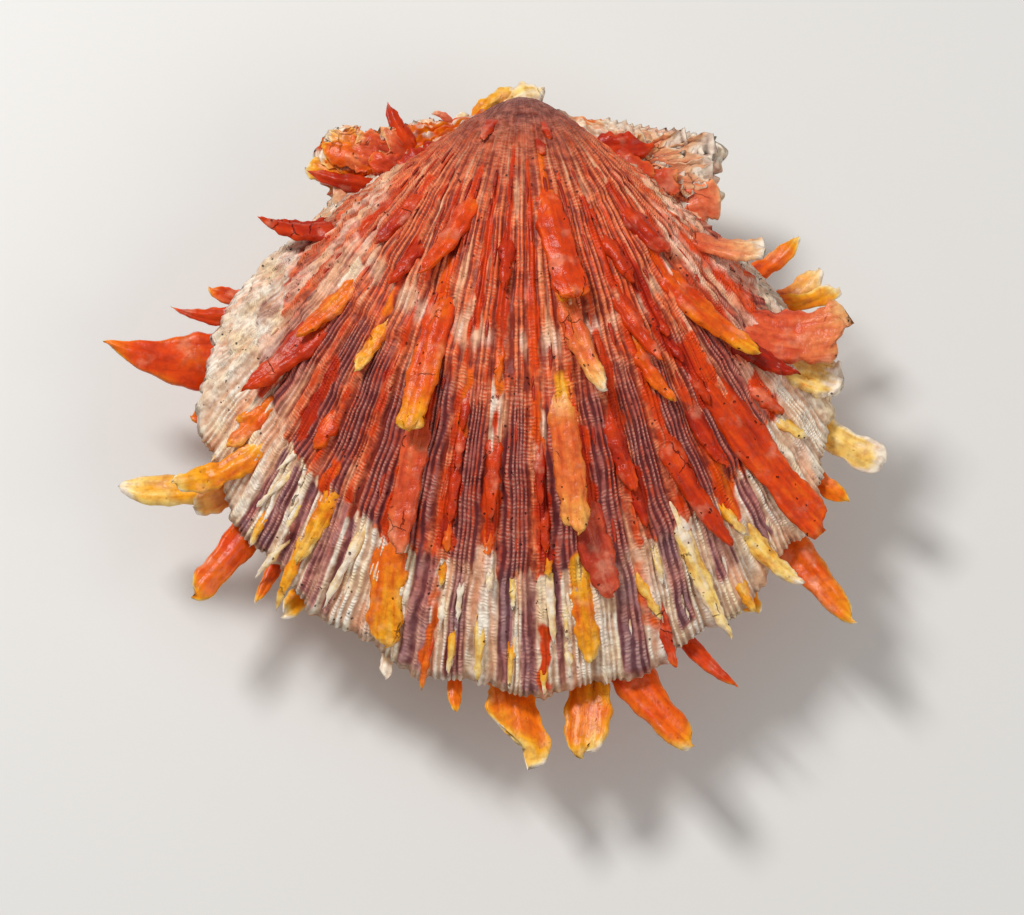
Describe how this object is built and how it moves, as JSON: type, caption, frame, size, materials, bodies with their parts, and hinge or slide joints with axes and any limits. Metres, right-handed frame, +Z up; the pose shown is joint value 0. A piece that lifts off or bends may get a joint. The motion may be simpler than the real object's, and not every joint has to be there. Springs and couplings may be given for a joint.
{
  "type": "spiny oyster shell",
  "caption": "Closed spiny oyster shell with both valves, radial ribs and long flattened spines, lying on the flat scar of its lower valve.",
  "frame": {"origin": "centre of the flat attachment scar under the lower valve", "axes": "+Z up, out of the upper valve; +Y from the belly edge to the hinge; +X to the right, seen from above with the hinge at the back"},
  "size_m": [0.1414, 0.128, 0.0545],
  "materials": {
    "upper_shell": "satin",
    "lower_shell": "satin",
    "spine": "satin",
    "inner_shell": "gloss"
  },
  "bodies": {
    "root": {"upper_valve": "upper_shell", "lower_valve": "lower_shell"}
  },
  "joints": []
}
